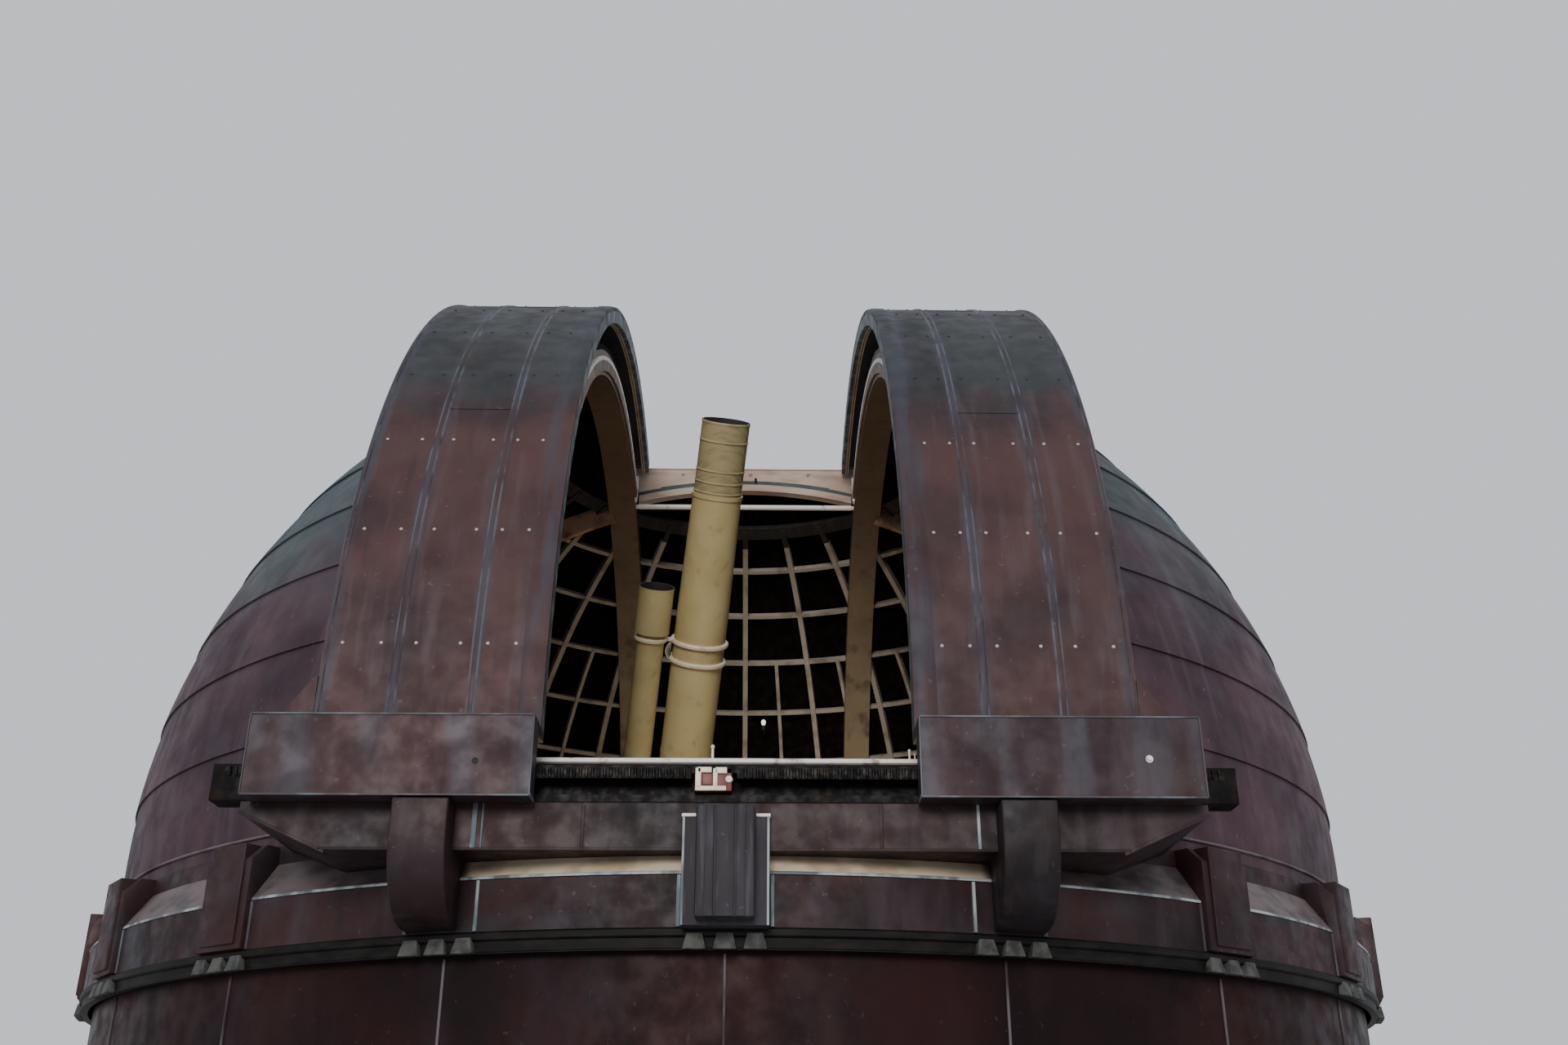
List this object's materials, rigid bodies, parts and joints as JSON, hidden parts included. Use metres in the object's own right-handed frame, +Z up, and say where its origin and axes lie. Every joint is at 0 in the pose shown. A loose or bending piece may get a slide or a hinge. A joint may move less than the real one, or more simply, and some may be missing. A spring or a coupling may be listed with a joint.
{
  "type": "observatory dome building",
  "caption": "Round observatory with a rotating copper-clad dome, a slit between two sliding arched shutters and a long refracting telescope inside.",
  "frame": {"origin": "on the ground at the centre of the round drum", "axes": "+Z up, -Y out of the slit, +X to the right of a viewer who faces the slit"},
  "size_m": [9.484, 9.692, 8.4631],
  "materials": {
    "concrete": "cast concrete and rendered masonry, dry and matt",
    "drum_copper": "reddish brown weathered copper sheet with specks",
    "belt_copper": "brown weathered copper with green-grey patina",
    "dome_copper": "purple-brown weathered copper with grey-green streaks",
    "rail_steel": "near-black greased steel",
    "girder_paint": "dull olive-tan paint on riveted steel",
    "lattice_paint": "dull tan-grey paint",
    "fascia_paint": "faded pinkish tan paint",
    "white_paint": "off-white paint",
    "red_paint": "dark red paint",
    "shutter_frame": "teal-grey patinated metal",
    "mount_iron": "dark green-grey painted casting",
    "tube_paint": "olive-tan enamel",
    "dew_cap_paint": "darker olive enamel",
    "ring_paint": "cream enamel"
  },
  "bodies": {
    "building": {"floor_slab": "concrete", "drum_wall_1": "drum_copper", "drum_wall_2": "drum_copper", "drum_wall_3": "drum_copper", "drum_wall_4": "drum_copper", "drum_wall_5": "drum_copper", "roller_track": "rail_steel", "pier_base": "concrete", "pier_column": "mount_iron", "polar_housing": "mount_iron"},
    "dome": {"belt_1": "belt_copper", "belt_2": "belt_copper", "belt_3": "belt_copper", "belt_4": "belt_copper", "belt_5": "belt_copper", "shell_left": "dome_copper", "shell_right": "dome_copper", "shell_rear": "dome_copper", "sill_wall": "dome_copper", "base_ring": "rail_steel", "left_girder": "girder_paint", "right_girder": "girder_paint", "left_lattice": "lattice_paint", "right_lattice": "lattice_paint", "rear_lattice": "lattice_paint", "rear_arch_rib": "fascia_paint", "rear_fascia": "fascia_paint", "rear_rail": "rail_steel", "tie_rod": "white_paint", "front_rail": "rail_steel", "shutter_gearbox": "red_paint", "front_beam": "belt_copper", "left_corbel": "belt_copper", "right_corbel": "belt_copper", "centre_pilaster": "belt_copper", "slit_sill": "white_paint"},
    "left_shutter": {"left_shutter_skin": "dome_copper", "left_shutter_inner_frame": "shutter_frame", "left_shutter_outer_frame": "shutter_frame", "left_shutter_apron": "dome_copper", "left_shutter_rear_carriage": "shutter_frame"},
    "right_shutter": {"right_shutter_skin": "dome_copper", "right_shutter_inner_frame": "shutter_frame", "right_shutter_outer_frame": "shutter_frame", "right_shutter_apron": "dome_copper", "right_shutter_rear_carriage": "shutter_frame"},
    "polar_axis": {"declination_housing": "mount_iron"},
    "telescope": {"tube_cradle": "mount_iron", "main_tube": "tube_paint", "dew_cap": "dew_cap_paint", "tailpiece": "mount_iron", "guide_tube": "tube_paint", "upper_clamp_ring": "ring_paint", "lower_clamp_ring": "ring_paint", "counterweight": "mount_iron"}
  },
  "joints": [
    {"name": "dome_rotation", "type": "hinge", "parent": "building", "child": "dome", "pos_m": [0, 0, 3.23], "axis": [0, 0, 1], "continuous": true},
    {"name": "left_shutter_slide", "type": "slide", "parent": "dome", "child": "left_shutter", "axis": [1, 0, 0], "range_m": [0, 0.963]},
    {"name": "right_shutter_slide", "type": "slide", "parent": "dome", "child": "right_shutter", "axis": [-1, 0, 0], "range_m": [0, 0.963]},
    {"name": "polar_rotation", "type": "hinge", "parent": "building", "child": "polar_axis", "pos_m": [0, 0, 3.79], "axis": [-0.1695, 0.8115, 0.5592], "range_deg": [-60, 60]},
    {"name": "declination_rotation", "type": "hinge", "parent": "polar_axis", "child": "telescope", "pos_m": [0, 0, 3.79], "axis": [0.9789, 0.2045, 0], "range_deg": [-45, 45]}
  ],
  "couplings": [
    {"joint": "right_shutter_slide", "follows": "left_shutter_slide", "ratio": 1}
  ]
}
